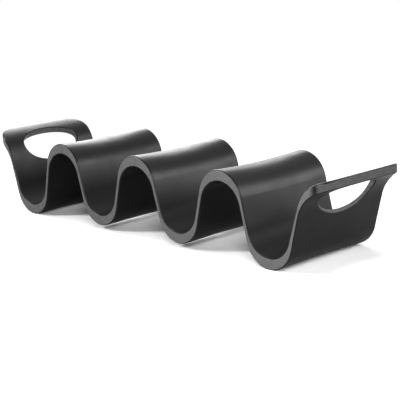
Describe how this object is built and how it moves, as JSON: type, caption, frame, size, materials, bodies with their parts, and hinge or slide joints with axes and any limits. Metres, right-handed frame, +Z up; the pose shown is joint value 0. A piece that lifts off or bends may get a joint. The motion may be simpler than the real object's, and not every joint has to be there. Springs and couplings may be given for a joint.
{
  "type": "taco holder",
  "caption": "Wave-shaped serving rack moulded in one piece, with rounded troughs for standing tacos and a flared, pierced handle at each end.",
  "frame": {"origin": "middle of the outline, on the surface it stands on", "axes": "+X along the length from one handle to the other, +Y across the width, +Z up"},
  "size_m": [0.292, 0.07, 0.0517],
  "materials": {
    "taco_holder": "black, smooth satin on the faces and a finely dragged grain on the side edges"
  },
  "bodies": {
    "root": {"taco_holder": "taco_holder"}
  },
  "joints": []
}
